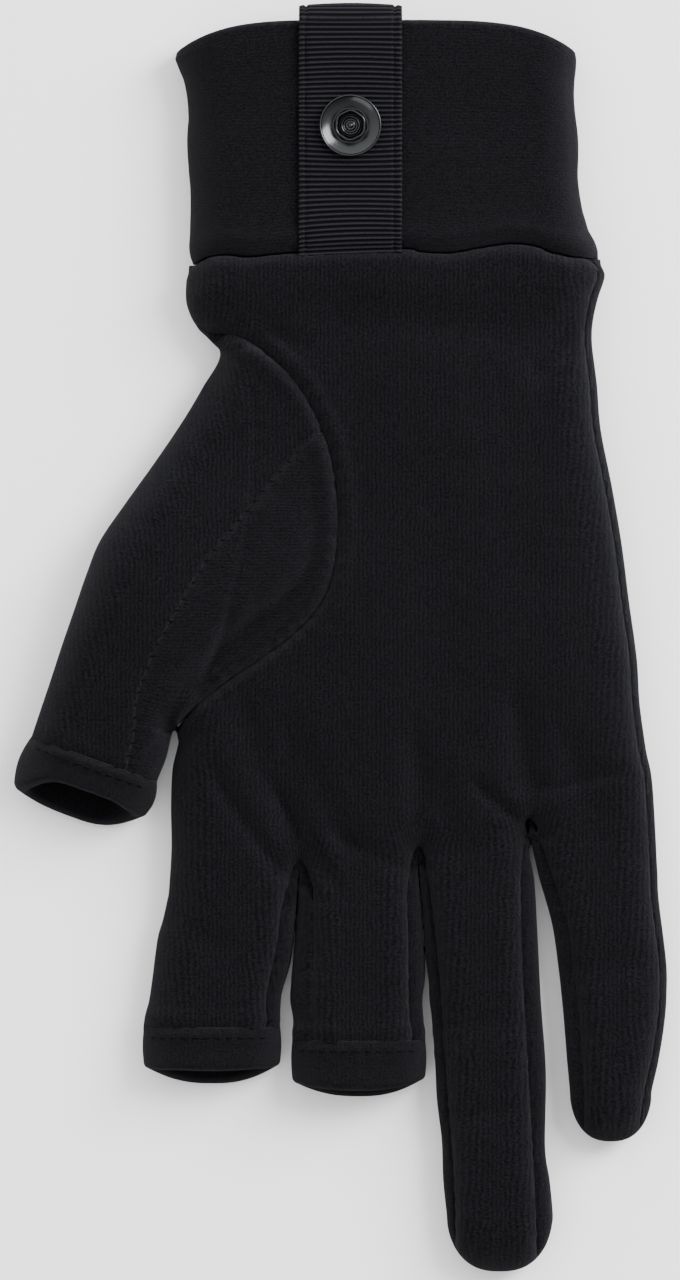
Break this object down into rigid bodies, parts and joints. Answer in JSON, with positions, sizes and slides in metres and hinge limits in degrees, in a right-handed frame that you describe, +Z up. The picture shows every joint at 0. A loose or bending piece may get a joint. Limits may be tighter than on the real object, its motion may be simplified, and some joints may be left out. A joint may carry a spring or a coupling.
{
  "type": "fishing glove",
  "caption": "Right-hand fishing glove of black stretch fleece with open thumb, index and middle fingers, a folded cuff and a ribbon tab with a metal snap.",
  "frame": {"origin": "middle of the glove's footprint on the surface that it lies on", "axes": "+Y from the fingers to the cuff, +Z up out of the palm, -X to the thumb"},
  "size_m": [0.1306, 0.253, 0.018],
  "materials": {
    "fleece": "matt stretch fleece with a fine knit face",
    "ribbon": "ribbed grosgrain with a slight sheen",
    "gunmetal": "polished dark gunmetal plating"
  },
  "bodies": {
    "root": {"palm_panel": "fleece", "back_panel": "fleece", "thumb_front_panel": "fleece", "thumb_gusset": "fleece", "fourchette_index_middle": "fleece", "fourchette_middle_ring": "fleece", "fourchette_ring_little": "fleece", "thumb_hem": "fleece", "index_hem": "fleece", "middle_hem": "fleece", "cuff": "fleece", "tab_ribbon": "ribbon", "snap_flange": "gunmetal", "snap_collar": "gunmetal", "snap_rivet": "gunmetal"}
  },
  "joints": []
}
